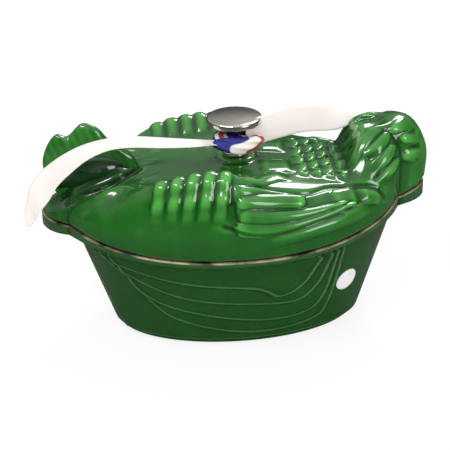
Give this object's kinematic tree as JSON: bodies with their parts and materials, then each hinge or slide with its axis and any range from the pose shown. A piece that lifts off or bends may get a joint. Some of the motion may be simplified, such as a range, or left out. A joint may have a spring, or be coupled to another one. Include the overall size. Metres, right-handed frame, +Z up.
{
  "type": "chicken cocotte",
  "caption": "Hen-shaped enamelled cast-iron cocotte: oval pot with feathered wall and lip handles, lift-off lid with comb, wings and tail, metal knob and a tied ribbon.",
  "frame": {"origin": "middle of the foot's flat face, on the surface that the pot stands on", "axes": "+Z up out of the pot, +X towards the hen's tail, -X towards its head"},
  "size_m": [0.3308, 0.1742, 0.1798],
  "materials": {
    "pot_enamel": "glossy translucent green enamel over cast iron, bare rim",
    "lid_enamel": "glossy translucent green enamel over cast iron",
    "knob_steel": "turned and satin polished",
    "screw_steel": "plain steel",
    "ribbon_cloth": "woven satin ribbon, blue, white and red at the knot",
    "label_paper": "plain round paper label"
  },
  "bodies": {
    "pot": {"pot": "pot_enamel", "round_label": "label_paper"},
    "lid": {"lid": "lid_enamel", "knob": "knob_steel", "knob_screw": "screw_steel", "knob_washer": "screw_steel", "ribbon_knot": "ribbon_cloth", "ribbon_left_tail": "ribbon_cloth", "ribbon_right_tail": "ribbon_cloth"}
  },
  "joints": [
    {"name": "lid_lift", "type": "slide", "parent": "pot", "child": "lid", "axis": [0, 0, 1], "range_m": [0, 0.12]}
  ]
}
